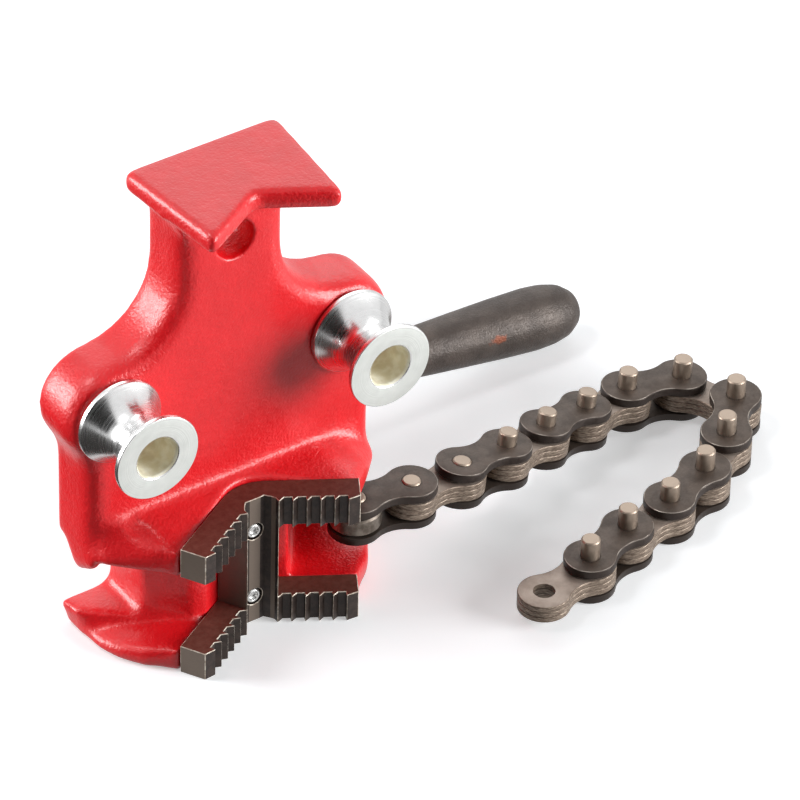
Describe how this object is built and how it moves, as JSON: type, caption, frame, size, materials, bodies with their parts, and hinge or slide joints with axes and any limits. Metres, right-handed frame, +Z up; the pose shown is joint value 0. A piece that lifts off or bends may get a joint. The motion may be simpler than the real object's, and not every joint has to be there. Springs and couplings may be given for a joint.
{
  "type": "bottom_screw_chain_vise",
  "caption": "Cast bench chain vise for pipe, standing on its jaw end, with toothed V jaw, zinc spools, notched pipe rest, handle nut, draw screw and leaf chain laid on the floor",
  "frame": {"origin": "Middle of the jaw end that the vise stands on, in the plane where the front face meets it", "axes": "+X runs across the base toward the chain side, +Y toward the bench side, +Z up from the jaw end to the pipe rest"},
  "size_m": [0.2414, 0.1353, 0.1568],
  "materials": {
    "red_paint": "satin red enamel over sand-cast iron",
    "zinc": "turned steel with clear zinc plating",
    "jaw_steel": "dark oiled jaw steel",
    "dark_iron": "uncoated dark cast iron",
    "dark_plate": "blackened stamped plate",
    "leaf_steel": "oiled tan spring-steel leaves",
    "pin_steel": "ground steel pins",
    "screw_steel": "machined steel"
  },
  "bodies": {
    "base": {"base_casting": "red_paint", "v_jaw": "jaw_steel", "jaw_screw_lower": "zinc", "jaw_screw_upper": "zinc", "spool_left": "zinc", "spool_right": "zinc", "thrust_washer": "screw_steel"},
    "handle": {"handle_nut": "dark_iron"},
    "screw": {"draw_screw": "screw_steel"},
    "outer_link_1": {"outer_link_1_top_plate": "dark_plate", "outer_link_1_bottom_plate": "dark_plate", "outer_link_1_near_pin": "pin_steel", "outer_link_1_far_pin": "pin_steel"},
    "inner_link_1": {"inner_link_1_leaf_pack": "leaf_steel"},
    "outer_link_2": {"outer_link_2_top_plate": "dark_plate", "outer_link_2_bottom_plate": "dark_plate", "outer_link_2_near_pin": "pin_steel", "outer_link_2_far_pin": "pin_steel"},
    "inner_link_2": {"inner_link_2_leaf_pack": "leaf_steel"},
    "outer_link_3": {"outer_link_3_top_plate": "dark_plate", "outer_link_3_bottom_plate": "dark_plate", "outer_link_3_near_pin": "pin_steel", "outer_link_3_far_pin": "pin_steel"},
    "inner_link_3": {"inner_link_3_leaf_pack": "leaf_steel"},
    "outer_link_4": {"outer_link_4_top_plate": "dark_plate", "outer_link_4_bottom_plate": "dark_plate", "outer_link_4_near_pin": "pin_steel", "outer_link_4_far_pin": "pin_steel"},
    "inner_link_4": {"inner_link_4_leaf_pack": "leaf_steel"},
    "outer_link_5": {"outer_link_5_top_plate": "dark_plate", "outer_link_5_bottom_plate": "dark_plate", "outer_link_5_near_pin": "pin_steel", "outer_link_5_far_pin": "pin_steel"},
    "inner_link_5": {"inner_link_5_leaf_pack": "leaf_steel"},
    "outer_link_6": {"outer_link_6_top_plate": "dark_plate", "outer_link_6_bottom_plate": "dark_plate", "outer_link_6_near_pin": "pin_steel", "outer_link_6_far_pin": "pin_steel"},
    "inner_link_6": {"inner_link_6_leaf_pack": "leaf_steel"},
    "outer_link_7": {"outer_link_7_top_plate": "dark_plate", "outer_link_7_bottom_plate": "dark_plate", "outer_link_7_near_pin": "pin_steel", "outer_link_7_far_pin": "pin_steel"},
    "inner_link_7": {"inner_link_7_leaf_pack": "leaf_steel"}
  },
  "joints": [
    {"name": "handle_turn", "type": "hinge", "parent": "base", "child": "handle", "pos_m": [0.0378, 0.045, 0.0226], "axis": [0, -1, 0], "range_deg": [-2520, 2880]},
    {"name": "screw_draw", "type": "slide", "parent": "base", "child": "screw", "axis": [0, 1, 0], "range_m": [-0.0127, 0.01451]},
    {"name": "chain_pin_01", "type": "hinge", "parent": "screw", "child": "outer_link_1", "pos_m": [0.0378, -0.0086, 0.0226], "axis": [-0.0423, 0.0033, -0.9991], "range_deg": [-8, 85]},
    {"name": "chain_pin_02", "type": "hinge", "parent": "outer_link_1", "child": "inner_link_1", "pos_m": [0.05677, -0.01009, 0.02179], "axis": [0.0423, -0.0033, 0.9991], "range_deg": [-40, 14]},
    {"name": "chain_pin_03", "type": "hinge", "parent": "inner_link_1", "child": "outer_link_2", "pos_m": [0.07569, -0.00867, 0.02001], "axis": [-0.1421, -0.023, -0.9896], "range_deg": [-18, 36]},
    {"name": "chain_pin_04", "type": "hinge", "parent": "outer_link_2", "child": "inner_link_2", "pos_m": [0.0943, -0.00566, 0.01727], "axis": [0.1421, 0.023, 0.9896], "range_deg": [-37, 22]},
    {"name": "chain_pin_05", "type": "hinge", "parent": "inner_link_2", "child": "outer_link_3", "pos_m": [0.11239, -0.00064, 0.01405], "axis": [-0.1645, -0.0392, -0.9856], "range_deg": [-30, 29]},
    {"name": "chain_pin_06", "type": "hinge", "parent": "outer_link_3", "child": "inner_link_3", "pos_m": [0.13065, 0.00371, 0.01083], "axis": [0.1645, 0.0392, 0.9856], "range_deg": [-22, 40]},
    {"name": "chain_pin_07", "type": "hinge", "parent": "inner_link_3", "child": "outer_link_4", "pos_m": [0.14916, 0.00741, 0.00824], "axis": [-0.0755, 0.0118, -0.9971], "range_deg": [-45, 16]},
    {"name": "chain_pin_08", "type": "hinge", "parent": "outer_link_4", "child": "inner_link_4", "pos_m": [0.16793, 0.00447, 0.00679], "axis": [0.0755, -0.0118, 0.9971], "range_deg": [-14, 56]},
    {"name": "chain_pin_09", "type": "hinge", "parent": "inner_link_4", "child": "outer_link_5", "pos_m": [0.17707, -0.01223, 0.0063], "axis": [0, 0, -1], "range_deg": [-76, 12]},
    {"name": "chain_pin_10", "type": "hinge", "parent": "outer_link_5", "child": "inner_link_5", "pos_m": [0.1636, -0.0257, 0.0063], "axis": [0, 0, 1], "range_deg": [-16, 40]},
    {"name": "chain_pin_11", "type": "hinge", "parent": "inner_link_5", "child": "outer_link_6", "pos_m": [0.14779, -0.03633, 0.0063], "axis": [0, 0, -1], "range_deg": [-40, 20]},
    {"name": "chain_pin_12", "type": "hinge", "parent": "outer_link_6", "child": "inner_link_6", "pos_m": [0.12986, -0.04275, 0.0063], "axis": [0, 0, 1], "range_deg": [-26, 40]},
    {"name": "chain_pin_13", "type": "hinge", "parent": "inner_link_6", "child": "outer_link_7", "pos_m": [0.11123, -0.04674, 0.0063], "axis": [0, 0, -1], "range_deg": [-40, 36]},
    {"name": "chain_pin_14", "type": "hinge", "parent": "outer_link_7", "child": "inner_link_7", "pos_m": [0.09315, -0.05276, 0.0063], "axis": [0, 0, 1], "range_deg": [-40, 40]}
  ],
  "couplings": [
    {"joint": "screw_draw", "follows": "handle_turn", "m_per_rad": 0.00028876}
  ]
}
